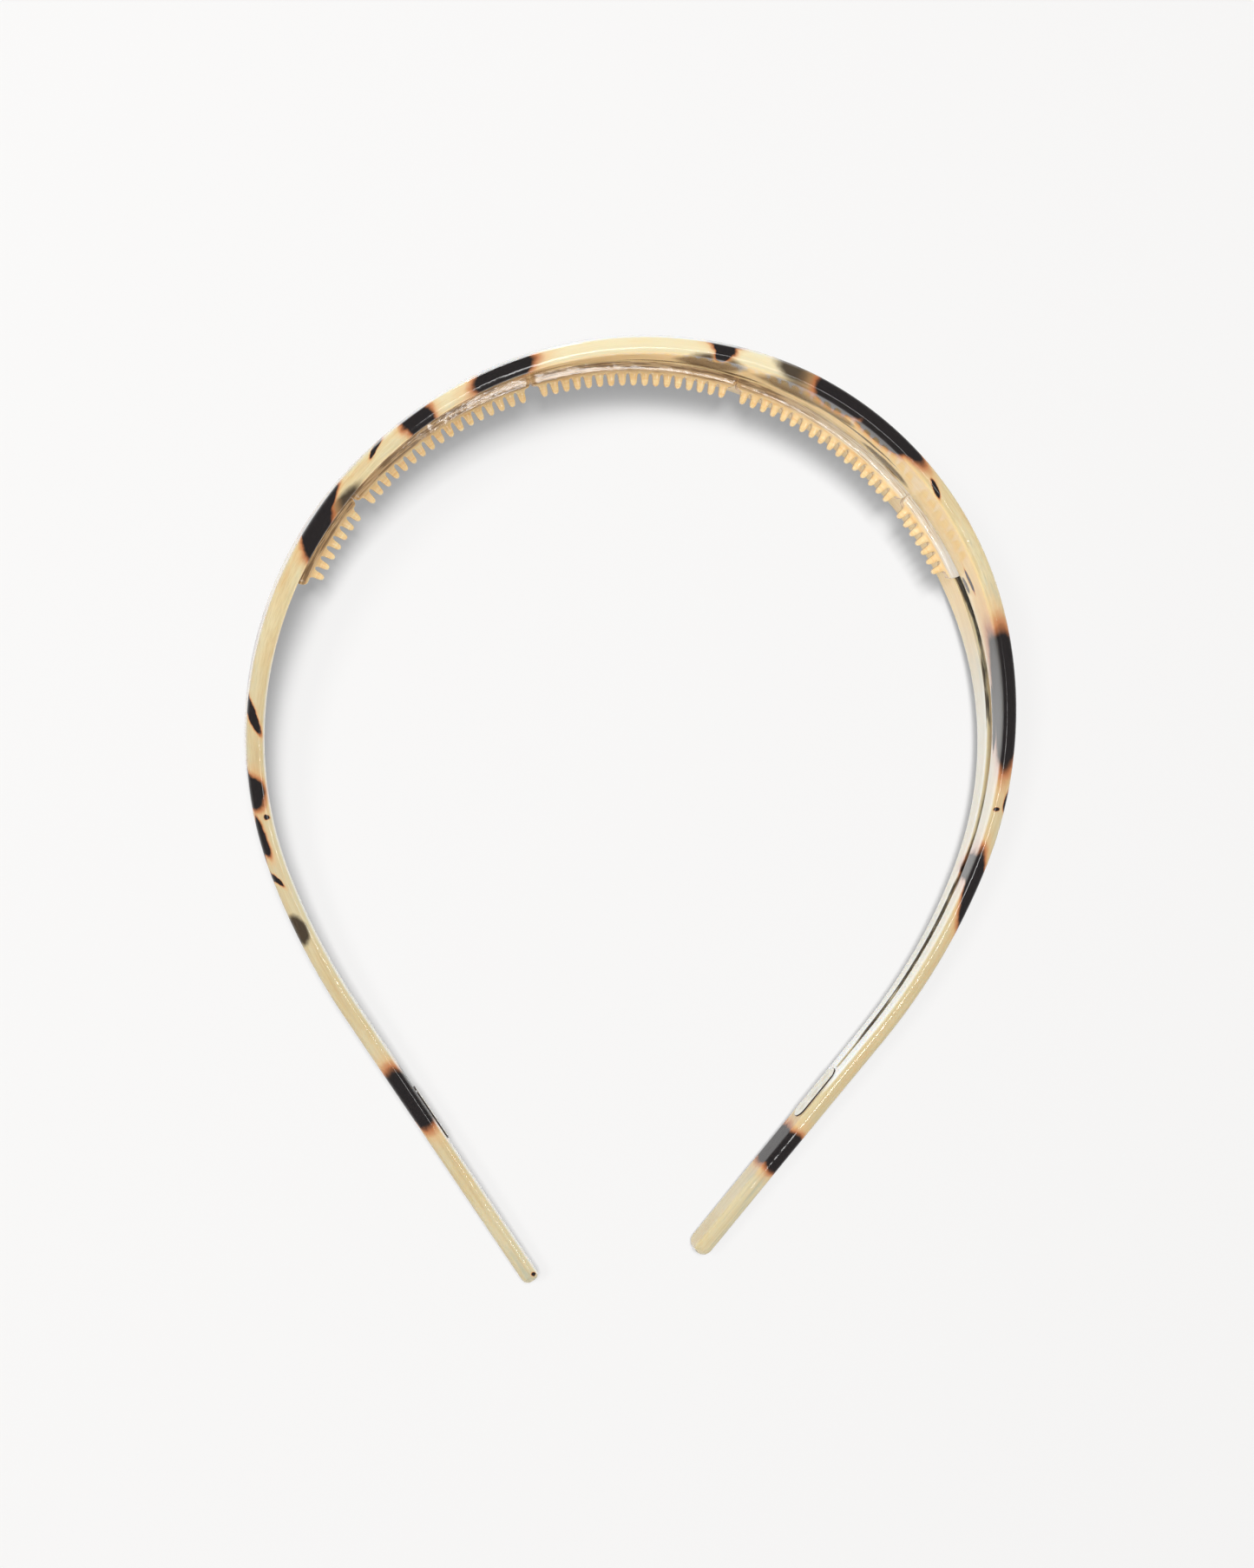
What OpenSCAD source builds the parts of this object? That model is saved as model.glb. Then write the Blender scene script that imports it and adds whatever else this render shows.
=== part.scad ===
// Rigid acetate headband with comb teeth, lying on its side edge.
// Frame: +Y from the tips towards the crown, +Z across the width of the band, X across the ears.
// The origin is at the centre of the footprint, on the plane under the crown's lower edge.
// The hoop's centre line is a wide crown arc, a gentler bend and a straight arm on each side.
// A point on it is named by its heading: the angle that its outward normal makes with +Y.

/* [Hoop] */
// Radius of the crown arc, at mid thickness
crown_r = 63.4; // [58:0.1:70]
// Angle that the crown arc covers on each side of the middle
crown_sweep = 110.4; // [104:0.1:113]
// Radius of the bend into the left arm
left_bend_r = 116; // [90:1:140]
// Angle of the bend into the left arm
left_bend = 13; // [8:0.1:18]
// Length of the straight left arm, with its rounded tip
left_arm_len = 56; // [50:0.1:66]
// Radius of the bend into the right arm
right_bend_r = 101; // [80:1:130]
// Angle of the bend into the right arm
right_bend = 19.4; // [10:0.1:22]
// Length of the straight right arm, with its rounded tip
right_arm_len = 48.1; // [44:0.1:60]

/* [Band] */
// Thickness of the acetate sheet
band_t = 2.9; // [2.4:0.1:4]
// Width of the band over the crown
crown_w = 30; // [22:0.5:34]
// Width of the band at the tips
tip_w = 5.6; // [4:0.1:8]
// Place along Y where the side edges taper fastest
taper_y = 41; // [30:1:50]
// How softly the width changes there
taper_soft = 22; // [16:1:26]

/* [Groove] */
// Widest width of the groove in the inner face
groove_w = 3; // [2:0.1:4]
// Width of the groove as a share of the band's width, where that is less
groove_share = 0.235; // [0.15:0.005:0.3]
// Depth of the groove
groove_d = 1; // [0.6:0.1:1.4]
// Distance from each tip to the end of the groove
groove_stop = 39.6; // [39:0.1:42]

/* [Comb] */
// Angle from one tooth to the next
tooth_pitch = 1.84; // [1.75:0.001:1.88]
// Teeth on a long segment
long_teeth = 17; // [9:2:17]
// Teeth on an end segment
end_teeth = 7; // [4:1:8]
// Angle that the whole comb is turned towards the left arm
comb_turn = 1.5; // [-2:0.1:2]
// Base left bare past the last tooth, in teeth
end_bare = 1.35; // [0.8:0.05:1.6]
// Thickness of the comb's base, across the band
comb_t = 2.9; // [1.8:0.1:2.9]
// How far the base stands out of the inner face
base_out = 1.7; // [1:0.1:2.5]
// Thickness of the teeth, across the band
tooth_t = 1.9; // [1.2:0.1:2.5]
// Length of a tooth
tooth_len = 2.1; // [1.5:0.1:3]
// Width of a tooth at its root
root_w = 1.24; // [0.9:0.02:1.4]
// Width of a tooth at its rounded end
end_w = 0.8; // [0.6:0.02:1]
// Gap between neighbouring segments
butt_gap = 0.1; // [0.05:0.05:0.4]

/* [Plaque] */
// Length of the blank plaque near each tip
plaque_len = 10.6; // [8:0.1:11]
// Width of the plaque
plaque_w = 3.6; // [2.5:0.1:4.2]
// Thickness of the plaque
plaque_t = 0.6; // [0.4:0.05:1]
// How far the plaque stands out of the inner face
plaque_out = 0.3; // [0.1:0.05:0.5]
// Distance from the tip to the middle of the plaque
plaque_at = 34; // [32:0.1:34]

/* [Hidden] */
$fn = 96;

mid_z = crown_w / 2;
face = -band_t / 2;
inner_r = crown_r - band_t / 2;
floor_r = inner_r + groove_d;
root_r = inner_r - base_out;
fit = 0.05;
over = 1;
lap = 0.3;
lap_turn = 0.3;
// The taper aims past the crown's width, so the crown's edges come out flat.
full_share = 1.2;

// The left arm reaches lowest, so its tip and the crown set the middle of the footprint.
left_heading = crown_sweep + left_bend;
tip_drop = (crown_r - left_bend_r) * cos(crown_sweep) + left_bend_r * cos(left_heading)
    - (left_arm_len - band_t / 2) * sin(left_heading) - band_t / 2;
crown_y = -(crown_r + band_t / 2 + tip_drop) / 2;
half_y = crown_y + crown_r + band_t / 2;

// Width of the band at a place along Y: full over the crown, an S-shaped taper, then the tip's.
function band_w(y) =
    min(crown_w, tip_w + (full_share * crown_w - tip_w) / (1 + exp((taper_y - y) / taper_soft)));

function cut_w(y) = min(groove_w, groove_share * band_w(y));

function tooth_x(radius, half_angle) = radius * sin(half_angle);

// Both edges of a side view whose width at a place along Y is w.
module side_view(groove = false) {
    steps = 48;
    ys = [for (i = [0 : steps]) -half_y - over + (2 * half_y + 2 * over) * i / steps];
    top = [for (y = ys) [y, (groove ? cut_w(y) : band_w(y)) / 2]];
    bottom = [for (i = [steps : -1 : 0]) [ys[i], -top[i][1]]];
    translate([0, 0, mid_z])
        rotate([90, 0, 90])
            linear_extrude(height = 3 * crown_r, center = true)
                polygon(concat(top, bottom));
}

// Carries its children to the start of the right-hand arm: +X is outwards and -Y runs to the tip.
module on_arm(bend_r, bend) {
    heading = crown_sweep + bend;
    shift = crown_r - bend_r;
    translate([
        shift * sin(crown_sweep) + bend_r * sin(heading),
        crown_y + shift * cos(crown_sweep) + bend_r * cos(heading),
        mid_z
    ])
        rotate([0, 0, 90 - heading])
            children();
}

// Sweeps a section along one arm. The section's X is the distance outwards from the centre line.
module along_arm(bend_r, bend, length) {
    shift = crown_r - bend_r;
    translate([shift * sin(crown_sweep), crown_y + shift * cos(crown_sweep), mid_z])
        rotate([0, 0, 90 - crown_sweep - bend])
            rotate_extrude(angle = bend + lap_turn)
                translate([bend_r, 0])
                    children();
    on_arm(bend_r, bend)
        translate([0, lap, 0])
            rotate([90, 0, 0])
                linear_extrude(height = length + lap)
                    children();
}

// Sweeps a section round the crown and along both arms, stopping short of the tips.
module along_hoop(short) {
    translate([0, crown_y, mid_z])
        rotate([0, 0, 90 - crown_sweep])
            rotate_extrude(angle = 2 * crown_sweep)
                translate([crown_r, 0])
                    children();
    along_arm(right_bend_r, right_bend, right_arm_len - short)
        children();
    mirror([1, 0, 0])
        along_arm(left_bend_r, left_bend, left_arm_len - short)
            children();
}

module tip(bend_r, bend, length) {
    on_arm(bend_r, bend)
        translate([0, band_t / 2 - length, 0])
            cylinder(r = band_t / 2, h = crown_w, center = true);
}

// The plaque's outline is drawn along the arm, so it is centred on the inner face.
module plaque(bend_r, bend, length, grow = 0) {
    half = (plaque_len - plaque_w) / 2;
    on_arm(bend_r, bend)
        translate([face - plaque_out, plaque_at - length, 0])
            rotate([90, 0, 90])
                linear_extrude(height = plaque_t)
                    union() {
                        square([2 * half, plaque_w + 2 * grow], center = true);
                        for (end = [-half, half])
                            translate([end, 0])
                                circle(d = plaque_w + 2 * grow);
                    }
}

module band() {
    color([0.91, 0.84, 0.67])
        difference() {
            intersection() {
                union() {
                    along_hoop(band_t / 2)
                        square([band_t, crown_w], center = true);
                    tip(right_bend_r, right_bend, right_arm_len);
                    mirror([1, 0, 0])
                        tip(left_bend_r, left_bend, left_arm_len);
                }
                side_view();
            }
            intersection() {
                along_hoop(groove_stop)
                    translate([face - over, -groove_w])
                        square([groove_d + over, 2 * groove_w]);
                side_view(groove = true);
            }
            plaque(right_bend_r, right_bend, right_arm_len, fit);
            mirror([1, 0, 0])
                plaque(left_bend_r, left_bend, left_arm_len, fit);
        }
}

module tooth() {
    end_r = root_r - tooth_len + end_w / 2;
    translate([0, 0, -tooth_t / 2])
        linear_extrude(height = tooth_t) {
            polygon([
                [-root_w / 2, root_r + 0.2],
                [-end_w / 2, end_r],
                [end_w / 2, end_r],
                [root_w / 2, root_r + 0.2]
            ]);
            translate([0, end_r])
                circle(d = end_w, $fn = 24);
        }
}

// A comb segment from one place to another, both counted in teeth from the middle of the crown.
module comb(from, to, first, count) {
    gap = butt_gap / 2 / inner_r * 180 / PI;
    color([0.85, 0.68, 0.4])
        translate([0, crown_y, mid_z]) {
            rotate([0, 0, 90 + comb_turn - to * tooth_pitch + gap])
                rotate_extrude(angle = (to - from) * tooth_pitch - 2 * gap)
                    translate([root_r, -comb_t / 2])
                        square([floor_r - root_r, comb_t]);
            for (i = [first : first + count - 1])
                rotate([0, 0, comb_turn - i * tooth_pitch])
                    tooth();
        }
}

half_long = (long_teeth + 1) / 2;
end_at = 3 * half_long;
end_stop = end_at + end_teeth + end_bare;

module comb_center() {
    comb(-half_long, half_long, 1 - half_long, long_teeth);
}

module comb_right() {
    comb(half_long, end_at, half_long + 1, long_teeth);
}

module comb_right_end() {
    comb(end_at, end_stop, end_at + 1, end_teeth);
}

module comb_left() {
    comb(-end_at, -half_long, 1 - end_at, long_teeth);
}

module comb_left_end() {
    comb(-end_stop, -end_at, -end_at - end_teeth, end_teeth);
}

module plaque_right() {
    color([0.88, 0.82, 0.68])
        plaque(right_bend_r, right_bend, right_arm_len);
}

module plaque_left() {
    color([0.88, 0.82, 0.68])
        mirror([1, 0, 0])
            plaque(left_bend_r, left_bend, left_arm_len);
}

band();
comb_left_end();
comb_left();
comb_center();
comb_right();
comb_right_end();
plaque_left();
plaque_right();
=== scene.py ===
import math

import bmesh
import bpy
from mathutils import Euler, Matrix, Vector


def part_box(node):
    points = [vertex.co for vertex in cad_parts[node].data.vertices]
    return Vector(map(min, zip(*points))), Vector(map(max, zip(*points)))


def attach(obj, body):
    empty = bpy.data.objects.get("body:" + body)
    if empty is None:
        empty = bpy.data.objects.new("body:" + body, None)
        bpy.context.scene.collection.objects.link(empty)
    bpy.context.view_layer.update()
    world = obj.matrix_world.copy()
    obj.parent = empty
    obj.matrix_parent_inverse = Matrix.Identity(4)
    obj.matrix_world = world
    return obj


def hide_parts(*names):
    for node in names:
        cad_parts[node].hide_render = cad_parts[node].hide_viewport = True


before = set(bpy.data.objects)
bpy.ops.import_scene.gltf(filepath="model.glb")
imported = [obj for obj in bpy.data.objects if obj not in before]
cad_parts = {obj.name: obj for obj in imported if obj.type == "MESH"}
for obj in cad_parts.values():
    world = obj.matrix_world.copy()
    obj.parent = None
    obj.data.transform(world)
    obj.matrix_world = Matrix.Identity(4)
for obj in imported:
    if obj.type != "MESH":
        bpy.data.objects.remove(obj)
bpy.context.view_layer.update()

# ---------------------------------------------------------------------------------------------
# The band. One strip of cellulose acetate sheet in blonde tortoiseshell: cut tapered, milled
# with a groove for the combs, tumbled until its edges are round, and bent warm round a former.
# ---------------------------------------------------------------------------------------------
MM = 0.001
band_low, band_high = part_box("band")
sheet = 2.9 * MM
crown_radius = 63.4 * MM
crown_angle = math.radians(110.4)
left_bend_radius = 116 * MM
left_bend_angle = math.radians(13)
right_bend_radius = 101 * MM
right_bend_angle = math.radians(19.4)
right_arm_length = 48.07 * MM
half_length = crown_radius * crown_angle + right_bend_radius * right_bend_angle + right_arm_length
crown_width = band_high.z - band_low.z
tip_width = 5.6 * MM
taper_place = 41 * MM
taper_softness = 22 * MM
mid_height = (band_low.z + band_high.z) / 2
former_y = band_high.y - sheet / 2 - crown_radius
groove_width = 3 * MM
groove_share = 0.235
groove_depth = 1 * MM
groove_half_length = half_length - 39.6 * MM
groove_lip = 0.16 * MM
tip_corner = 2.2 * MM
outer_round = 0.85 * MM
outer_spread = 1.3
inner_round = 0.5 * MM
crowning = 0.12 * MM


def place_along_y(along):
    """Where the bent band's middle line lies along Y, at a distance along the band from its middle."""
    radius, angle = left_bend_radius, left_bend_angle
    if along > 0:
        radius, angle = right_bend_radius, right_bend_angle
    turned = min(abs(along) / crown_radius, crown_angle)
    rest = abs(along) - turned * crown_radius
    bent = min(rest / radius, angle)
    y = crown_radius * math.cos(turned)
    y += radius * (math.cos(turned + bent) - math.cos(turned))
    y -= (rest - bent * radius) * math.sin(turned + bent)
    return former_y + y


def band_width(along):
    """Full over the crown, then an S-shaped taper to the tips."""
    softened = math.exp((taper_place - place_along_y(along)) / taper_softness)
    full = 1.2 * crown_width
    return min(crown_width, tip_width + (full - tip_width) / (1 + softened))


def arc(middle_y, middle_z, radius_y, radius_z, start, stop, steps):
    """Points on a stretch of an ellipse, from one angle in degrees to another."""
    turns = [math.radians(start + (stop - start) * i / steps) for i in range(steps + 1)]
    return [(middle_y + radius_y * math.cos(t), middle_z + radius_z * math.sin(t)) for t in turns]


def rounded_in(reach, radius):
    """How far a round corner has come out, at a distance into it: nothing at 0, its radius at most."""
    into = radius - min(reach, radius)
    return math.sqrt(max(radius**2 - into**2, 1e-10))


def band_outline(along):
    """The strip cut across, as (outwards, across) points, from the outer face to the groove.

    The side edge has a faint ridge, a little nearer the inner face than the outer one."""
    from_tip = half_length - abs(along)
    out = rounded_in(from_tip, sheet / 2)
    half = band_width(along) / 2 - (tip_corner - rounded_in(from_tip, tip_corner))
    squeeze = out / (sheet / 2)
    outer, inner, crowned = outer_round * squeeze, inner_round * squeeze, crowning * squeeze
    flat = half - crowned - outer_spread * outer
    points = [(out, flat * f) for f in (0, 0.3, 0.6, 0.85)]
    points += arc(out - outer, flat, outer, outer_spread * outer, 0, 80, 6)
    ridge = ((0.1, 0.06), (-0.26, 0.008), (-0.36, 0), (-0.46, 0.015))
    points += [(out * place, half - drop * MM * squeeze) for place, drop in ridge]
    points += arc(-out + inner, half - crowned - inner, inner, inner, 98, 180, 5)
    to_end = groove_half_length - abs(along)
    groove = min(groove_width, groove_share * band_width(along)) / 2
    if to_end < groove:
        reach = max(groove - to_end, 0) / groove
        groove *= math.sqrt(max(1 - reach**2, 0.02))
    deep = groove_depth if to_end > 0 else 0
    face_starts = groove + groove_lip
    face = half - crowned - inner - face_starts
    points += [(-out, face_starts + face * f) for f in (0.8, 0.5, 0.2)]
    points += [
        (-out, face_starts),
        (-out + min(0.05 * MM, deep), groove + 0.3 * groove_lip),
        (-out + min(groove_lip, deep), groove),
        (-out + max(deep - groove_lip, 0), groove * 0.98),
        (-out + deep, groove * 0.9),
        (-out + deep, 0),
    ]
    return points


def band_stations():
    """Places along the band: even, and closer where the groove and the tips end."""
    step, tip = 0.8 * MM, 2.4 * MM
    places = {step * i for i in range(math.ceil((half_length - tip) / step))}
    places |= {half_length - tip * (1 - math.sin(math.radians(10 * i))) for i in range(9)}
    places.add(half_length - 0.01 * MM)
    past_groove = (-1.2, -0.8, -0.5, -0.3, -0.15, -0.06, -0.01, 0.02, 0.1)
    places |= {groove_half_length + gap * MM for gap in past_groove}
    side = sorted(places)
    return [-p for p in reversed(side) if p > 0] + side


def plain_mesh(name, shape):
    """Ends the work on a shape and keeps it as a mesh. Its faces are turned outwards, open or not."""
    bmesh.ops.recalc_face_normals(shape, faces=shape.faces)
    if max(shape.faces, key=lambda f: f.calc_center_median().z).normal.z < 0:
        bmesh.ops.reverse_faces(shape, faces=shape.faces)
    mesh = bpy.data.meshes.new(name)
    shape.to_mesh(mesh)
    shape.free()
    return mesh


def skin_between(shape, rows):
    """Faces from each ring of vertices to the next one."""
    for row, following in zip(rows, rows[1:]):
        for i in range(len(row)):
            j = (i + 1) % len(row)
            shape.faces.new((row[i], row[j], following[j], following[i]))


def cap(shape, row, middle):
    """Faces from a ring of vertices to one vertex in its middle."""
    for i in range(len(row)):
        shape.faces.new((row[i], row[(i + 1) % len(row)], middle))


def middle_of(shape, row):
    """A new vertex in the middle of a ring of them."""
    return shape.verts.new(sum((v.co for v in row), Vector()) / len(row))


def loft(name, rings):
    """A closed skin over rings of points, each ring with the same number of points."""
    shape = bmesh.new()
    rows = [[shape.verts.new(p) for p in ring] for ring in rings]
    skin_between(shape, rows)
    for row in (rows[0], rows[-1]):
        cap(shape, row, middle_of(shape, row))
    return plain_mesh(name, shape)


def band_blank():
    """The whole strip, still flat: X along it, Y outwards and Z across it."""
    rings = []
    for along in band_stations():
        upper = band_outline(along)
        lower = [(y, -z) for y, z in reversed(upper[1:-1])]
        rings.append([(along, y, z) for y, z in upper + lower])
    return loft("band_blank", rings)


def node_sum(tree, kind, first, second=None, third=None):
    """One Math node. Numbers go on its sockets, and other nodes' outputs are linked to them."""
    node = tree.nodes.new("ShaderNodeMath")
    node.operation = kind
    for socket, value in zip(node.inputs, (first, second, third)):
        if value is None:
            continue
        if isinstance(value, (int, float)):
            socket.default_value = value
        else:
            tree.links.new(value, socket)
    return node.outputs[0]


FORMER_SIZES = {
    "Crown Radius": crown_radius,
    "Crown Angle": crown_angle,
    "Left Bend Radius": left_bend_radius,
    "Left Bend Angle": left_bend_angle,
    "Right Bend Radius": right_bend_radius,
    "Right Bend Angle": right_bend_angle,
    "Former Y": former_y,
    "Mid Height": mid_height,
}


def former_group():
    """Bends a flat piece round the former: X runs along the band, Y outwards, Z across it."""
    tree = bpy.data.node_groups.new("Bend Round Former", "GeometryNodeTree")
    face = tree.interface
    face.new_socket("Geometry", in_out="INPUT", socket_type="NodeSocketGeometry")
    for name, value in FORMER_SIZES.items():
        face.new_socket(name, in_out="INPUT", socket_type="NodeSocketFloat").default_value = value
    face.new_socket("Geometry", in_out="OUTPUT", socket_type="NodeSocketGeometry")
    given = tree.nodes.new("NodeGroupInput").outputs
    result = tree.nodes.new("NodeGroupOutput")
    flat = tree.nodes.new("GeometryNodeInputPosition").outputs[0]
    parts = tree.nodes.new("ShaderNodeSeparateXYZ")
    tree.links.new(flat, parts.inputs[0])
    along, outwards, across = parts.outputs

    def sum_of(kind, *values):
        return node_sum(tree, kind, *values)

    side = sum_of("SIGN", along)
    right = sum_of("GREATER_THAN", along, 0.0)

    def by_side(size):
        wider = sum_of("SUBTRACT", given["Right " + size], given["Left " + size])
        return sum_of("MULTIPLY_ADD", right, wider, given["Left " + size])

    radius, angle = by_side("Bend Radius"), by_side("Bend Angle")
    length = sum_of("ABSOLUTE", along)
    turned = sum_of("MINIMUM", sum_of("DIVIDE", length, given["Crown Radius"]), given["Crown Angle"])
    rest = sum_of("SUBTRACT", length, sum_of("MULTIPLY", turned, given["Crown Radius"]))
    bent = sum_of("MINIMUM", sum_of("DIVIDE", rest, radius), angle)
    straight = sum_of("SUBTRACT", rest, sum_of("MULTIPLY", bent, radius))
    heading = sum_of("ADD", turned, bent)
    place = []
    for turn, run, sign in (("SINE", "COSINE", 1.0), ("COSINE", "SINE", -1.0)):
        at_bend = sum_of(turn, turned)
        gained = sum_of("MULTIPLY", radius, sum_of("SUBTRACT", sum_of(turn, heading), at_bend))
        total = sum_of("MULTIPLY_ADD", given["Crown Radius"], at_bend, gained)
        run_on = sum_of("MULTIPLY", sum_of(run, heading), sign)
        total = sum_of("MULTIPLY_ADD", straight, run_on, total)
        place.append(sum_of("MULTIPLY_ADD", outwards, sum_of(turn, heading), total))
    bent_place = tree.nodes.new("ShaderNodeCombineXYZ")
    tree.links.new(sum_of("MULTIPLY", place[0], side), bent_place.inputs[0])
    tree.links.new(sum_of("ADD", place[1], given["Former Y"]), bent_place.inputs[1])
    tree.links.new(sum_of("ADD", across, given["Mid Height"]), bent_place.inputs[2])

    keep = tree.nodes.new("GeometryNodeStoreNamedAttribute")
    keep.data_type = "FLOAT_VECTOR"
    keep.domain = "POINT"
    keep.inputs["Name"].default_value = "flat"
    bend = tree.nodes.new("GeometryNodeSetPosition")
    tree.links.new(given["Geometry"], keep.inputs["Geometry"])
    tree.links.new(flat, keep.inputs["Value"])
    tree.links.new(keep.outputs[0], bend.inputs["Geometry"])
    tree.links.new(bent_place.outputs[0], bend.inputs["Position"])
    tree.links.new(bend.outputs[0], result.inputs["Geometry"])
    return tree


bend_round_former = former_group()


def bending_tree(name):
    """A modifier's tree that bends what it is given, after what the caller puts before it."""
    tree = bpy.data.node_groups.new(name, "GeometryNodeTree")
    face = tree.interface
    face.new_socket("Geometry", in_out="INPUT", socket_type="NodeSocketGeometry")
    for size, value in FORMER_SIZES.items():
        face.new_socket(size, in_out="INPUT", socket_type="NodeSocketFloat").default_value = value
    face.new_socket("Material", in_out="INPUT", socket_type="NodeSocketMaterial")
    face.new_socket("Geometry", in_out="OUTPUT", socket_type="NodeSocketGeometry")
    given = tree.nodes.new("NodeGroupInput")
    bend = tree.nodes.new("GeometryNodeGroup")
    bend.node_tree = bend_round_former
    for size in FORMER_SIZES:
        tree.links.new(given.outputs[size], bend.inputs[size])
    whole = tree.nodes.new("GeometryNodeRealizeInstances")
    finish = tree.nodes.new("GeometryNodeSetMaterial")
    result = tree.nodes.new("NodeGroupOutput")
    tree.links.new(bend.outputs[0], whole.inputs[0])
    tree.links.new(whole.outputs[0], finish.inputs["Geometry"])
    tree.links.new(given.outputs["Material"], finish.inputs["Material"])
    tree.links.new(finish.outputs[0], result.inputs["Geometry"])
    return tree, given, bend


def run_tree(name, mesh, tree, sizes, sharp=40):
    """Puts a flat mesh through a tree and gives back the plain object that comes out.

    The piece is hidden from soft bounces, so that its painted glow doesn't tint the table."""
    flat = bpy.data.objects.new(name + "_flat", mesh)
    bpy.context.collection.objects.link(flat)
    modifier = flat.modifiers.new("bend", "NODES")
    modifier.node_group = tree
    for item in tree.interface.items_tree:
        if item.in_out == "INPUT" and item.name in sizes:
            modifier[item.identifier] = sizes[item.name]
    bpy.context.view_layer.update()
    graph = bpy.context.evaluated_depsgraph_get()
    made = bpy.data.meshes.new_from_object(flat.evaluated_get(graph))
    flat.modifiers.clear()
    bpy.data.objects.remove(flat)
    made.name = name
    made.shade_smooth()
    made.set_sharp_from_angle(angle=math.radians(sharp))
    piece = bpy.data.objects.new(name, made)
    piece.visible_diffuse = False
    bpy.context.collection.objects.link(piece)
    return piece


def shade(tree, kind, **settings):
    """One shader node with its settings.

    A setting named after a socket, or i0, i1 or i2 for a socket by its number, sets or links it."""
    node = tree.nodes.new("ShaderNode" + kind)
    for key, value in settings.items():
        if hasattr(node, key) and key not in node.inputs:
            setattr(node, key, value)
            continue
        socket = node.inputs[int(key[1:]) if key in ("i0", "i1", "i2") else key]
        if isinstance(value, bpy.types.NodeSocket):
            tree.links.new(value, socket)
        else:
            socket.default_value = value
    return node


def colour_ramp(tree, factor, stops):
    """Soft steps from colour to colour, as (place, colour) pairs."""
    node = shade(tree, "ValToRGB", Fac=factor)
    ramp = node.color_ramp
    ramp.interpolation = "EASE"
    while len(ramp.elements) < len(stops):
        ramp.elements.new(0.5)
    for element, (place, colour) in zip(ramp.elements, stops):
        element.position = place
        element.color = (*colour, 1)
    return node.outputs[0]


def mixed(tree, factor, first, second, kind="MIX"):
    """The first colour where the factor is 0, and the second one laid over it where it is 1."""
    node = tree.nodes.new("ShaderNodeMix")
    node.data_type = "RGBA"
    node.blend_type = kind
    for socket, value in ((0, factor), (6, first), (7, second)):
        if isinstance(value, bpy.types.NodeSocket):
            tree.links.new(value, node.inputs[socket])
        else:
            node.inputs[socket].default_value = value if socket == 0 else (*value, 1)
    return node.outputs[2]


# The flakes in the sheet, in millimetres on the flat strip: the place of each along the band,
# outwards and across it, half its length, depth and width, and how many degrees it slants. The
# first list is nearly black, and the second is thin brown smoke.
DARK_FLAKES = [
    (-203, -0.7, 2.4, 0.5, 0.4, 0.7, 0),
    (-185, 1.7, -0.4, 5, 0.9, 1.6, 0),
    (-166, 0.1, 0, 6.5, 3.2, 8, 0),
    (-146, 1.7, -1.6, 5, 0.9, 2.2, 0),
    (-123.1, 0.9, 4, 1.5, 0.35, 3, 25),
    (-115.6, 1.2, 3, 3.7, 0.9, 5, 8),
    (-113.1, -0.5, 5, 0.5, 0.45, 1.2, 10),
    (-108.3, 1.2, 2, 3.5, 2.5, 6, 12),
    (-96.2, 0.5, 6.5, 3.4, 0.62, 5, 24),
    (-86, 1.8, -3, 7, 1.0, 5, 0),
    (-64.5, 0.4, 9, 6.4, 2.6, 11, 30),
    (-60.5, 1.0, 11, 4.4, 1.0, 6, 14),
    (-49.3, 0.8, 13, 1.8, 0.34, 4, 15),
    (-44, 1.8, -6, 6, 1.0, 5, 0),
    (-41.3, 0.2, 6, 2.9, 4.2, 17, 10),
    (-25.9, -0.1, 10, 6.1, 2.2, 12, 4),
    (-8, 1.9, -6, 6, 1.1, 6, 0),
    (10.6, 1.75, 15, 3.5, 1.1, 4, 4),
    (10.2, 0.7, 15, 2.1, 1.3, 3.6, -10),
    (10.2, -0.5, 15, 1.25, 1.4, 3, 0),
    (18, 1.9, -6, 8, 1.1, 5, 0),
    (31.4, 0.2, 15, 4.9, 3.0, 5.4, 4),
    (41.6, 0.9, 14.8, 8.6, 1.9, 3.4, -3),
    (40.6, -0.6, 14.3, 5.3, 2.4, 4.6, 0),
    (53.6, -0.6, 13, 1.9, 0.36, 2.4, -14),
    (61, 1.9, 0, 8, 1.1, 7, 0),
    (76, 1.8, -5, 5, 1.0, 4, 0),
    (92.8, -0.3, 7.4, 13.4, 3.0, 5.2, 0),
    (103, 1.8, -3, 6, 0.9, 2, 0),
    (110.2, 1.35, 5, 2.1, 0.6, 3, 0),
    (111.9, -0.3, 5, 0.42, 0.55, 1.4, 20),
    (126.4, 0.5, 3, 7.6, 1.7, 4.5, 10),
    (123.5, -0.5, 3, 3.6, 1.7, 4.5, 25),
    (148, 1.7, -1.4, 6, 0.8, 1.5, 0),
    (181.6, 0.1, 0, 4.4, 3.4, 8, 0),
    (196, 1.7, -0.4, 2.6, 0.7, 1.3, 0),
    (96, -1.5, 2.6, 6, 0.7, 0.9, 0),
    (71.3, -1.5, 5.4, 2.4, 0.5, 0.6, 0),
    (124, -1.5, 0.6, 4, 0.6, 1.2, 0),
]
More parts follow.
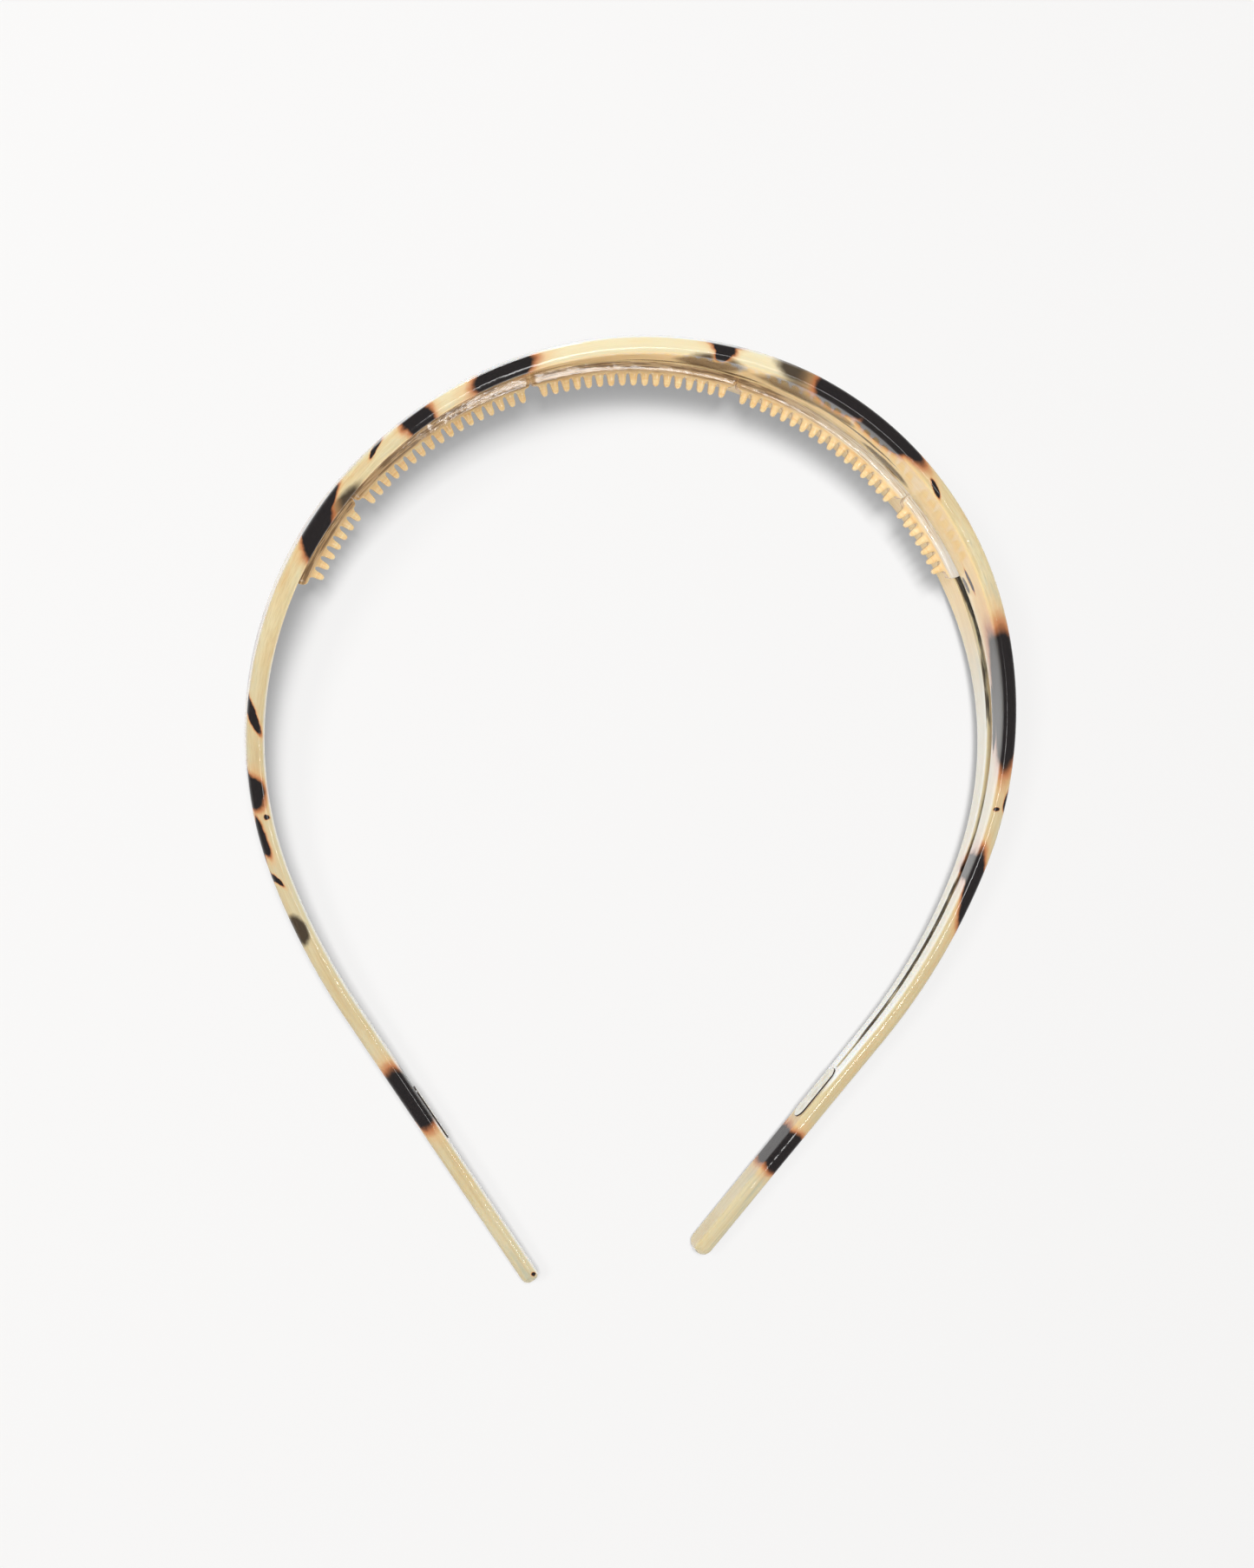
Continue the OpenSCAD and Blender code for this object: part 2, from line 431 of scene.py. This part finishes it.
SMOKY_FLAKES = [
    (-132.2, 0.9, 3, 2.4, 1.4, 4, 0),
    (-70, -1.7, 0, 8, 1.0, 7, 0),
    (-60, -1.2, 8, 5, 1.4, 9, 0),
    (-24, -1.7, 2, 6, 1.0, 10, 0),
    (9.6, -1.6, 10, 5.4, 1.1, 6.6, 0),
    (24, 1.3, 14.6, 4.6, 2.5, 4, 0),
    (25.5, -1.6, 10.4, 7.2, 1.3, 5, 0),
    (32, -1.6, 8.4, 4.6, 1.0, 2.2, 0),
    (46, -1.7, 3.5, 5, 1.0, 1.6, 0),
    (72, -1.6, 2.6, 1.8, 0.6, 0.8, 0),
    (-40.5, -1.7, 3.6, 4.4, 1.0, 1.7, 0),
    (-17, -1.7, 6.5, 4.6, 1.0, 0.9, 0),
    (-33, -1.7, 8.5, 3.2, 1.0, 0.8, 0),
    (3, -1.7, 4.2, 7, 1.0, 0.6, 0),
    (14.5, -1.7, 3.6, 5, 1.0, 0.8, 0),
    (40, -1.7, 6.6, 7, 1.0, 0.5, 0),
]


def nearest_flake(tree, place, flakes):
    """How far a place is from the nearest flake, where 1 is on the flake's outline."""
    nearest = None
    for along, out, across, length, depth, width, slant in flakes:
        local = shade(
            tree,
            "Mapping",
            vector_type="TEXTURE",
            Vector=place,
            Location=(along, out, across),
            Rotation=(0, 0, math.radians(slant)),
            Scale=(length, depth, width),
        ).outputs[0]
        reach = shade(tree, "VectorMath", operation="LENGTH", i0=local).outputs["Value"]
        nearest = reach if nearest is None else node_sum(tree, "SMOOTH_MIN", nearest, reach, 0.22)
    return nearest


def faded(tree, value, start, stop, high=1.0):
    """Falls smoothly from high at start to nothing at stop."""
    node = shade(tree, "MapRange", interpolation_type="SMOOTHSTEP")
    tree.links.new(value, node.inputs[0])
    for socket, number in zip(node.inputs[1:5], (start, stop, high, 0.0)):
        socket.default_value = number
    return node.outputs[0]


def swirled(tree, place, size, amount):
    """Moves a place about by noise, so that what is drawn there gets a torn outline."""
    noise = shade(tree, "TexNoise", Vector=place, Scale=1 / size, Detail=3.0).outputs["Color"]
    centred = shade(tree, "VectorMath", operation="SUBTRACT", i0=noise, i1=(0.5, 0.5, 0.5)).outputs[0]
    push = (amount * 2.4, amount * 0.5, amount)
    return shade(tree, "VectorMath", operation="MULTIPLY_ADD", i0=centred, i1=push, i2=place).outputs[0]


def reverse(tree, mask):
    """Everywhere that a mask isn't."""
    return node_sum(tree, "SUBTRACT", 1.0, mask)


def times(tree, first, second):
    """Two masks laid over each other, or a mask made weaker."""
    return node_sum(tree, "MULTIPLY", first, second)


def acetate_group():
    """What every piece of acetate shares: cast clouds and drawn threads, and a hand polish."""
    tree = bpy.data.node_groups.new("Cast Acetate", "ShaderNodeTree")
    face = tree.interface
    for name, value in (
        ("Place", (0, 0, 0)),
        ("Cloud Stretch", (0.045, 0.5, 0.16)),
        ("Thread Stretch", (0.06, 5.0, 3.0)),
    ):
        face.new_socket(name, in_out="INPUT", socket_type="NodeSocketVector").default_value = value
    for name in ("Cloud", "Threads", "Roughness", "Height"):
        face.new_socket(name, in_out="OUTPUT", socket_type="NodeSocketFloat")
    given = tree.nodes.new("NodeGroupInput").outputs
    result = tree.nodes.new("NodeGroupOutput").inputs

    def noise_at(stretch, scale, detail):
        place = given["Place"]
        if stretch:
            stretched = shade(tree, "VectorMath", operation="MULTIPLY", i0=place, i1=given[stretch])
            place = stretched.outputs[0]
        noise = shade(tree, "TexNoise", Vector=place, Scale=scale, Detail=detail, Roughness=0.6)
        return noise.outputs["Fac"]

    tree.links.new(noise_at("Cloud Stretch", 1.0, 5.0), result["Cloud"])
    tree.links.new(noise_at("Thread Stretch", 1.0, 3.0), result["Threads"])
    rub = node_sum(tree, "MULTIPLY_ADD", noise_at(None, 0.8, 4.0), 0.08, 0.06)
    tree.links.new(rub, result["Roughness"])
    tree.links.new(noise_at(None, 0.35, 2.0), result["Height"])
    return tree


cast_acetate = acetate_group()


def acetate_material(name):
    """An empty material, its place on the flat sheet in millimetres, and what its acetate gives."""
    made = bpy.data.materials.new(name)
    made.use_nodes = True
    tree = made.node_tree
    tree.nodes.clear()
    flat = shade(tree, "Attribute", attribute_name="flat").outputs["Vector"]
    place = shade(tree, "VectorMath", operation="SCALE", i0=flat, Scale=1000.0).outputs[0]
    cast = tree.nodes.new("ShaderNodeGroup")
    cast.node_tree = cast_acetate
    tree.links.new(place, cast.inputs["Place"])
    return made, place, cast


def polished_skin(tree, colour, cast, deep, lit=None):
    """The polished, translucent skin of a piece of acetate. Light that has come through it is painted
    on as a lit glow, an emission.
    """
    wave = shade(tree, "Bump", Strength=0.06, Distance=0.001, Height=cast.outputs["Height"])
    skin = shade(
        tree,
        "BsdfPrincipled",
        **{
            "Base Color": colour,
            "Roughness": cast.outputs["Roughness"],
            "IOR": 1.49,
            "Normal": wave.outputs[0],
            "Subsurface Weight": 0.8,
            "Subsurface Radius": (deep, deep * 0.85, deep * 0.65),
            "Subsurface Scale": 0.001,
        },
    )
    if lit:
        tree.links.new(lit, skin.inputs["Emission Color"])
        skin.inputs["Emission Strength"].default_value = 1.0
    shade(tree, "OutputMaterial", Surface=skin.outputs[0])
    return skin


def honey_ground(tree, cast, along):
    """The sheet between its flakes: clouds of honey, threads along it, and paler over the crown."""
    base = colour_ramp(
        tree,
        cast.outputs["Cloud"],
        [
            (0.28, (0.77, 0.58, 0.32)),
            (0.42, (0.78, 0.65, 0.39)),
            (0.56, (0.80, 0.70, 0.46)),
            (0.70, (0.62, 0.61, 0.46)),
        ],
    )
    threads = colour_ramp(tree, cast.outputs["Threads"], [(0.3, (0.70, 0.62, 0.5)), (0.62, (1, 1, 1))])
    base = mixed(tree, 0.35, base, threads, "MULTIPLY")
    over_crown = faded(tree, node_sum(tree, "ABSOLUTE", along), 18.0, 52.0, 0.6)
    return mixed(tree, over_crown, base, (0.97, 0.85, 0.60))


def flaked(tree, base, place, outwards):
    """Lays the smoke and then the dark flakes over the sheet. Each flake has a rusty border."""
    torn = swirled(tree, swirled(tree, place, 4.0, 1.0), 0.9, 0.3)
    grain = shade(tree, "VectorMath", operation="MULTIPLY", i0=place, i1=(0.16, 0.16, 0.24)).outputs[0]
    grain = shade(tree, "TexNoise", Vector=grain, Scale=1.0, Detail=3.0).outputs["Fac"]
    outer_face = reverse(tree, faded(tree, outwards, 1.2, 1.44))
    ragged = times(tree, node_sum(tree, "SUBTRACT", grain, 0.5), outer_face)
    dark = nearest_flake(tree, torn, DARK_FLAKES)
    dark = node_sum(tree, "MULTIPLY_ADD", ragged, 2.6, dark)
    smoke = nearest_flake(tree, torn, SMOKY_FLAKES)
    base = mixed(tree, faded(tree, smoke, 0.8, 1.3, 0.95), base, (0.045, 0.025, 0.011))
    base = mixed(tree, faded(tree, dark, 1.0, 1.75, 0.55), base, (0.80, 0.46, 0.19))
    base = mixed(tree, faded(tree, dark, 0.98, 1.3, 0.85), base, (0.50, 0.15, 0.045))
    base = mixed(tree, faded(tree, dark, 0.88, 1.08), base, (0.013, 0.009, 0.009))
    return base, dark


def painted_arm_reflection(tree, base, dark, along, on_arms):
    """Painted reflection: the inner face of the arms is painted nearly white, as the pale table shows
    in it, less so in a flake, as far as the right plaque.
    """
    to_right_tip = node_sum(tree, "SUBTRACT", 175.0, along)
    pale = node_sum(tree, "ADD", 0.62, faded(tree, to_right_tip, 10.0, 40.0, 0.3))
    pale = times(tree, pale, reverse(tree, faded(tree, dark, 0.88, 1.1, 0.65)))
    pale = times(tree, pale, faded(tree, along, 166.0, 171.0))
    return mixed(tree, times(tree, on_arms, pale), base, (0.92, 0.92, 0.90))


def groove_painted_shade(tree, base, cast, outwards, across, inside):
    """Painted shade: the groove's walls are painted dark, streaked by the sheet's clouds, and the lip
    beside the combs is painted brown.
    """
    from_middle = node_sum(tree, "ABSOLUTE", across)
    walls = times(tree, faded(tree, outwards, -1.3, -1.42), faded(tree, from_middle, 1.55, 1.75))
    walls = times(tree, walls, faded(tree, outwards, -0.3, 0.0))
    wall_shade = times(tree, faded(tree, cast.outputs["Cloud"], 0.62, 0.5, 0.93), walls)
    base = mixed(tree, wall_shade, base, (0.03, 0.018, 0.012))
    # Painted shade along the groove's lip beside the combs.
    lip = times(tree, inside, faded(tree, from_middle, 1.62, 1.74, 0.6))
    return mixed(tree, lip, base, (0.16, 0.09, 0.04))


def painted_rim_reflection(tree, base, along, outwards):
    """Painted reflection: the rounded outer edge is painted white where it is seen from the side,
    mostly just left of the crown's middle.
    """
    rim = shade(tree, "LayerWeight", Blend=0.5).outputs["Facing"]
    rim = reverse(tree, faded(tree, rim, 0.12, 0.42))
    outer_edge = reverse(tree, faded(tree, outwards, 0.5, 1.0))
    from_whitest = node_sum(tree, "ABSOLUTE", node_sum(tree, "ADD", along, 16.0))
    outer_edge = times(tree, outer_edge, faded(tree, from_whitest, 22.0, 42.0, 0.85))
    return mixed(tree, times(tree, rim, outer_edge), base, (0.97, 0.98, 0.98))


def tortoise_material():
    """Blonde tortoiseshell. Outwards, the two faces of the sheet lie at 1.45 mm and -1.45 mm."""
    made, place, cast = acetate_material("polished_tortoiseshell")
    tree = made.node_tree
    along, outwards, across = shade(tree, "SeparateXYZ", Vector=place).outputs
    near_crown = faded(tree, node_sum(tree, "ABSOLUTE", along), 70.0, 100.0)
    inner_face = faded(tree, outwards, -1.4, -1.0)
    inside = times(tree, inner_face, near_crown)
    on_arms = node_sum(tree, "SUBTRACT", inner_face, inside)
    base = honey_ground(tree, cast, along)
    # Painted glow: the crown's inner face is tinted warmer, standing in for light that comes through
    # the sheet.
    base = mixed(tree, times(tree, inside, 0.4), base, (0.95, 0.72, 0.38))
    # Painted shade: the arms are darkened, most on the outer part of the edge, where it turns away from
    # the light.
    painted_arm_shade = reverse(tree, faded(tree, outwards, 0.3, 1.3, 0.35))
    painted_arm_shade = node_sum(tree, "MAXIMUM", node_sum(tree, "SUBTRACT", painted_arm_shade, near_crown), 0.0)
    base = mixed(tree, times(tree, painted_arm_shade, 0.3), base, (0.40, 0.34, 0.22))
    base, dark = flaked(tree, base, place, outwards)
    base = painted_arm_reflection(tree, base, dark, along, on_arms)
    base = groove_painted_shade(tree, base, cast, outwards, across, inside)
    # Painted glow: an emission, honey over the crown's inner face and faint grey on the arms, stands in
    # for light that comes through the sheet.
    glow = mixed(tree, inside, (0, 0, 0), (0.18, 0.13, 0.06))
    glow = mixed(tree, on_arms, glow, (0.07, 0.075, 0.08))
    glow = mixed(tree, 1.0, base, glow, "MULTIPLY")
    base = painted_rim_reflection(tree, base, along, outwards)
    polished_skin(tree, base, cast, 2.6, glow)
    return made


tortoise = tortoise_material()
bend_tree, given, bend = bending_tree("Bend The Band")
bend_tree.links.new(given.outputs["Geometry"], bend.inputs["Geometry"])
band = run_tree("headband_strip", band_blank(), bend_tree, {"Material": tortoise})
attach(band, "root")
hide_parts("band")

# ---------------------------------------------------------------------------------------------
# The combs. Five strips of clear honey acetate, sawn with teeth and polished, are cemented end
# to end into the groove over the crown. The two end strips have 7 teeth, and the others 17.
# ---------------------------------------------------------------------------------------------
tooth_step = math.radians(1.84) * crown_radius
comb_shift = -math.radians(1.5) * crown_radius
comb_back = -sheet / 2 + groove_depth
comb_root = -sheet / 2 - 1.7 * MM
tooth_end = comb_root - 2.1 * MM
comb_side = 1.45 * MM
long_teeth, end_teeth = 17, 7
half_long = (long_teeth + 1) / 2
half_space, bare_end = 0.5, 0.85
joint = 0.05 * MM
root_side = 1.02 * MM


def comb_rows():
    """The base, cut across, from the groove's floor to the roots: (outwards, half thickness)."""
    rows = [(comb_back, comb_side - 0.1 * MM), (comb_back - 0.1 * MM, comb_side)]
    rows += [(-sheet / 2 + 0.25 * MM, comb_side), (-sheet / 2 - 0.05 * MM, comb_side - 0.05 * MM)]
    rows += [(-sheet / 2 - 0.45 * MM, 1.26 * MM), (-sheet / 2 - 1.1 * MM, 1.17 * MM)]
    return rows + [(comb_root + 0.12 * MM, 1.08 * MM)]


# Sixteen points round a tooth, starting from its left upper corner: where they lie on its square
# root, and at what angles on its rounded length.
ROOT_SQUARE = [(x / 2, 1) for x in (-2, -1, 0, 1, 2)] + [(1, z / 2) for z in (1, 0, -1)]
ROOT_SQUARE += [(-x, -z) for x, z in ROOT_SQUARE]
TOOTH_TURNS = [140, 115, 90, 65, 40, 20, 0, -20, -40, -65, -90, -115, -140, -160, 180, 160]


def tooth_ring(down, half, thick, roundness):
    """One outline round a tooth: square at the root, and a squarish oval further down."""
    points = []
    for turn, (square_x, square_z) in zip(TOOTH_TURNS, ROOT_SQUARE):
        cos, sin = math.cos(math.radians(turn)), math.sin(math.radians(turn))
        x = math.copysign(abs(cos) ** 0.7, cos)
        z = math.copysign(abs(sin) ** 0.7, sin)
        x = square_x + (x - square_x) * roundness
        z = square_z + (z - square_z) * roundness
        points.append((half * x, comb_root - down, thick * z))
    return points


def tooth_cell():
    """One pitch of comb, open at both sides so that its neighbours close it."""
    shape = bmesh.new()
    half_pitch = tooth_step / 2
    rings = [
        [shape.verts.new(p) for p in tooth_ring(down * MM, half * MM, thick * MM, roundness)]
        for down, half, thick, roundness in (
            (0, half_pitch / MM, root_side / MM, 0),
            (0.08, 0.90, 1.00, 0.3),
            (0.24, 0.77, 0.98, 0.7),
            (0.50, 0.68, 0.94, 1),
            (0.90, 0.63, 0.88, 1),
            (1.30, 0.59, 0.82, 1),
            (1.62, 0.53, 0.74, 1),
            (1.86, 0.43, 0.62, 1),
            (2.00, 0.30, 0.46, 1),
            (2.07, 0.16, 0.26, 1),
        )
    ]
    skin_between(shape, rings)
    cap(shape, rings[-1], shape.verts.new((0, tooth_end, 0)))
    above, below = [], []
    for y, thick in comb_rows():
        xs = [half_pitch * x for x in (-1, -0.5, 0, 0.5, 1)]
        above.append([shape.verts.new((x, y, thick)) for x in xs])
        below.append([shape.verts.new((x, y, -thick)) for x in xs])
    above.append(rings[0][0:5])
    below.append(list(reversed(rings[0][8:13])))
    back = [above[0], below[0]]
    for rows in (above, below, back):
        for row, following in zip(rows, rows[1:]):
            for i in range(4):
                shape.faces.new((row[i], row[i + 1], following[i + 1], following[i]))
    return plain_mesh("tooth_cell", shape)


def comb_ends(first, last, left_length, right_length):
    """The plain ends of a comb strip, each open on the side where the teeth begin."""
    shape = bmesh.new()
    edge = comb_rows()
    corner = tooth_ring(0, tooth_step / 2, root_side, 0)[4:9]
    side = edge + [(y, z) for _, y, z in corner] + [(y, -z) for y, z in reversed(edge)]
    for start, length, way in ((first, left_length, -1), (last, right_length, 1)):
        rows = []
        bend = min(0.8 * MM, length * 0.95)
        for share in (0, 0.25, 0.5, 0.7, 0.85, 0.95, 1):
            out = length * share
            into = max(out - (length - bend), 0) / bend
            shrink = 1 - (1 - math.sqrt(max(1 - into**2, 0))) * 0.5
            flatter = 1 - 0.06 * into**3
            x = start + way * out
            row = [(x, comb_back + (y - comb_back) * shrink, z * flatter) for y, z in side]
            rows.append([shape.verts.new(p) for p in row])
        skin_between(shape, rows)
        cap(shape, rows[-1], middle_of(shape, rows[-1]))
    return plain_mesh("comb_ends", shape)


def comb_tree():
    """Repeats a tooth along a row, joins the plain ends on, and bends the strip."""
    tree, given, bend = bending_tree("Comb Teeth In A Row")
    face = tree.interface
    for name, kind in (("Teeth", "Int"), ("Pitch", "Float"), ("First Tooth", "Float")):
        face.new_socket(name, in_out="INPUT", socket_type="NodeSocket" + kind)
    face.new_socket("Tooth", in_out="INPUT", socket_type="NodeSocketObject")
    row = tree.nodes.new("GeometryNodeMeshLine")
    start = tree.nodes.new("ShaderNodeCombineXYZ")
    step = tree.nodes.new("ShaderNodeCombineXYZ")
    tooth = tree.nodes.new("GeometryNodeObjectInfo")
    placed = tree.nodes.new("GeometryNodeInstanceOnPoints")
    solid = tree.nodes.new("GeometryNodeRealizeInstances")
    joined = tree.nodes.new("GeometryNodeJoinGeometry")
    welded = tree.nodes.new("GeometryNodeMergeByDistance")
    welded.inputs["Distance"].default_value = 0.002 * MM
    for source, socket in (
        (given.outputs["Teeth"], row.inputs["Count"]),
        (given.outputs["First Tooth"], start.inputs[0]),
        (given.outputs["Pitch"], step.inputs[0]),
        (start.outputs[0], row.inputs["Start Location"]),
        (step.outputs[0], row.inputs["Offset"]),
        (given.outputs["Tooth"], tooth.inputs["Object"]),
        (row.outputs[0], placed.inputs["Points"]),
        (tooth.outputs["Geometry"], placed.inputs["Instance"]),
        (placed.outputs[0], solid.inputs[0]),
        (solid.outputs[0], joined.inputs[0]),
        (given.outputs["Geometry"], joined.inputs[0]),
        (joined.outputs[0], welded.inputs[0]),
        (welded.outputs[0], bend.inputs["Geometry"]),
    ):
        tree.links.new(source, socket)
    return tree


def honey_material():
    """Honey acetate: clear teeth, and a sawn, streaky base that is brown on the left."""
    made, place, cast = acetate_material("polished_honey_acetate")
    tree = made.node_tree
    cast.inputs["Cloud Stretch"].default_value = (0.16, 2.4, 0.7)
    cast.inputs["Thread Stretch"].default_value = (0.22, 9.0, 5.0)
    cloud, threads = cast.outputs["Cloud"], cast.outputs["Threads"]
    along, outwards = shade(tree, "SeparateXYZ", Vector=place).outputs[:2]
    clear = [(0.3, (0.80, 0.52, 0.24)), (0.5, (0.87, 0.64, 0.35)), (0.7, (0.91, 0.75, 0.47))]
    streaky = [(0.32, (0.42, 0.27, 0.16)), (0.46, (0.74, 0.62, 0.46)), (0.62, (0.86, 0.80, 0.70))]
    tooth = colour_ramp(tree, cloud, clear)
    sawn = colour_ramp(tree, threads, streaky)
    root = faded(tree, outwards, -2.7, -3.15)
    base = mixed(tree, root, tooth, sawn)
    # The sawn base is browner towards the left, with dark streaks where its clouds are low.
    browned = times(tree, root, faded(tree, along, 18.0, 42.0, 0.85))
    base = mixed(tree, browned, base, (0.94, 0.72, 0.45), "MULTIPLY")
    darker_left_streaks = times(tree, browned, faded(tree, cloud, 0.43, 0.53, 0.9))
    base = mixed(tree, darker_left_streaks, base, (0.22, 0.12, 0.055))
    # Painted reflection: a silvery sheen on the sawn base near the right end of the combs.
    from_right_end = node_sum(tree, "SUBTRACT", 66.5, along)
    painted_sheen = times(tree, faded(tree, from_right_end, 0.0, 6.0, 0.6), root)
    base = mixed(tree, painted_sheen, base, (0.66, 0.64, 0.62))
    # Painted shade: brown outlines where the clear teeth are seen edge-on.
    rim = shade(tree, "LayerWeight", Blend=0.5).outputs["Facing"]
    rim = node_sum(tree, "SUBTRACT", 0.7, faded(tree, rim, 0.5, 0.9, 0.7))
    base = mixed(tree, rim, base, (0.40, 0.22, 0.09))
    # Painted glow: an emission in the comb's own colour stands in for light that comes through the
    # clear acetate.
    glow = mixed(tree, 1.0, base, (0.18, 0.155, 0.11), "MULTIPLY")
    skin = polished_skin(tree, base, cast, 0.9, glow)
    skin.inputs["Transmission Weight"].default_value = 0.12
    return made


honey = honey_material()
comb_row = comb_tree()
cell = bpy.data.objects.new("tooth_cell", tooth_cell())
bpy.context.collection.objects.link(cell)
for name, first, teeth, left_space, right_space in (
    ("comb_left_end", -3 * half_long - end_teeth, end_teeth, bare_end, half_space),
    ("comb_left", -3 * half_long + 1, long_teeth, half_space, half_space),
    ("comb_center", 1 - half_long, long_teeth, half_space, half_space),
    ("comb_right", half_long + 1, long_teeth, half_space, half_space),
    ("comb_right_end", 3 * half_long + 1, end_teeth, half_space, bare_end),
):
    ends = comb_ends(
        (first - 0.5) * tooth_step + comb_shift,
        (first + teeth - 0.5) * tooth_step + comb_shift,
        left_space * tooth_step - joint,
        right_space * tooth_step - joint,
    )
    strip = run_tree(
        name + "_strip",
        ends,
        comb_row,
        {
            "Teeth": teeth,
            "Pitch": tooth_step,
            "First Tooth": first * tooth_step + comb_shift,
            "Tooth": cell,
            "Material": honey,
        },
        sharp=55,
    )
    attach(strip, "root")
    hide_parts(name)
bpy.data.objects.remove(cell)

# ---------------------------------------------------------------------------------------------
# The plaques. A slim blank plate of pale acetate with round ends is cemented into a pocket on
# the inner face near each tip, and stands a little proud of it.
# ---------------------------------------------------------------------------------------------
plaque_length = 10.6 * MM
plaque_width = 3.6 * MM
plaque_from_tip = 34 * MM
plaque_proud = 0.3 * MM
plaque_back = -sheet / 2 + 0.28 * MM
plaque_face = -sheet / 2 - plaque_proud


def plaque_plate(along):
    """A flat plate with round ends and a softened, barely domed face."""
    rings = []
    reach = plaque_length / 2 - plaque_width / 2
    for inset, y in (
        (0.1, plaque_back),
        (0, plaque_back - 0.08 * MM),
        (0, plaque_face + 0.14 * MM),
        (0.04, plaque_face + 0.06 * MM),
        (0.12, plaque_face + 0.02 * MM),
        (0.3, plaque_face + 0.005 * MM),
        (0.9, plaque_face),
    ):
        radius = plaque_width / 2 - inset * MM
        ring = arc(along + reach, 0, radius, radius, -90, 90, 16)
        ring += arc(along - reach, 0, radius, radius, 90, 270, 16)
        rings.append([(x, y, z) for x, z in ring])
    return loft("plaque_plate", rings)


def plaque_material():
    """Pale, cloudy acetate, with its sides painted dark as shade where they meet the pocket."""
    made, place, cast = acetate_material("pale_plaque_acetate")
    tree = made.node_tree
    cast.inputs["Cloud Stretch"].default_value = (0.5, 1.0, 0.9)
    clouds = [(0.28, (0.30, 0.24, 0.19)), (0.36, (0.78, 0.72, 0.60)), (0.6, (0.90, 0.88, 0.80))]
    base = colour_ramp(tree, cast.outputs["Cloud"], clouds)
    outwards = shade(tree, "SeparateXYZ", Vector=place).outputs[1]
    # Painted shade: the plate's sides are painted dark, as shade in the crack round it.
    pocket_shade = reverse(tree, faded(tree, outwards, -1.73, -1.68))
    base = mixed(tree, pocket_shade, base, (0.05, 0.035, 0.03))
    polished_skin(tree, base, cast, 1.0)
    return made


pale = plaque_material()
for name, side in (("plaque_left", -1), ("plaque_right", 1)):
    plate = run_tree(
        name + "_plate",
        plaque_plate(side * (half_length - plaque_from_tip)),
        bend_tree,
        {"Material": pale},
    )
    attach(plate, "root")
    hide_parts(name)

# ---------------------------------------------------------------------------------------------
# The table top, plain and nearly white. The band rests on the lower edge of its crown and on its
# two narrow tips, so the table is drawn at the slight slope that touches all of them.
# ---------------------------------------------------------------------------------------------
slope = math.radians(4.6)
crown_rest = 72 * MM
table_reach = 3.0
table_mesh = bpy.data.meshes.new("table_top")
corners = [(-1, -1), (1, -1), (1, 1), (-1, 1)]
table_mesh.from_pydata([(x * table_reach, y * table_reach, 0) for x, y in corners], [], [(0, 1, 2, 3)])
for corner in table_mesh.vertices:
    corner.co.z = (crown_rest - corner.co.y) * math.tan(slope)
table_top = bpy.data.objects.new("table_top", table_mesh)
bpy.context.collection.objects.link(table_top)
paper = bpy.data.materials.new("white_table")
paper.use_nodes = True
matt = paper.node_tree.nodes["Principled BSDF"].inputs
matt["Base Color"].default_value = (0.9, 0.89, 0.88, 1)
matt["Roughness"].default_value = 0.7
matt["Specular IOR Level"].default_value = 0
table_mesh.materials.append(paper)

# ---------------------------------------------------------------------------------------------
# Studio light: one high soft light behind the crown and a weak one far to the left, in a pale
# room. Two soft boxes are seen only in the polish of the edges.
# ---------------------------------------------------------------------------------------------
room = bpy.data.worlds.new("room")
bpy.context.scene.world = room
room.use_nodes = True
room.node_tree.nodes["Background"].inputs["Color"].default_value = (0.98, 0.99, 1.0, 1)
room.node_tree.nodes["Background"].inputs["Strength"].default_value = 0.40
for name, place, wide, tall, power, polish_only in (
    ("key_light", (-0.38, 0.48, 2.4), 0.6, 0.6, 37.5, False),
    ("left_light", (-1.1, 0.4, 1.9), 0.4, 0.4, 3, False),
    ("top_box", (0.25, -0.22, 1.3), 0.1, 0.5, 2.2, True),
    ("back_box", (-0.3, 1.3, 0.55), 0.6, 0.6, 14, True),
):
    lamp = bpy.data.lights.new(name, "AREA")
    lamp.shape = "RECTANGLE"
    lamp.size, lamp.size_y = wide, tall
    lamp.energy = power
    holder = bpy.data.objects.new(name, lamp)
    holder.location = place
    holder.rotation_euler = (-Vector(place)).to_track_quat("-Z", "Y").to_euler()
    holder.visible_diffuse = not polish_only
    holder.visible_glossy = polish_only
    bpy.context.collection.objects.link(holder)

# ---------------------------------------------------------------------------------------------
# The camera looks straight down on the band's edge, but a little from the left, so that the
# inner face shows on the right.
# ---------------------------------------------------------------------------------------------
hoop_middle = Vector((0, former_y + crown_radius - 78 * MM, mid_height))
leaning = Euler((math.radians(-4.48), math.radians(-10.96), math.radians(-0.02)), "ZYX")
camera = bpy.data.cameras.new("camera")
camera.sensor_width = 36
camera.lens = 51.85
camera.clip_start, camera.clip_end = 0.01, 10
watcher = bpy.data.objects.new("camera", camera)
watcher.rotation_mode = "ZYX"
watcher.rotation_euler = leaning
watcher.location = hoop_middle + leaning.to_matrix() @ Vector((-1.51, 6.52, 380)) * MM
bpy.context.collection.objects.link(watcher)
bpy.context.scene.camera = watcher
bpy.context.scene.view_settings.view_transform = "Standard"
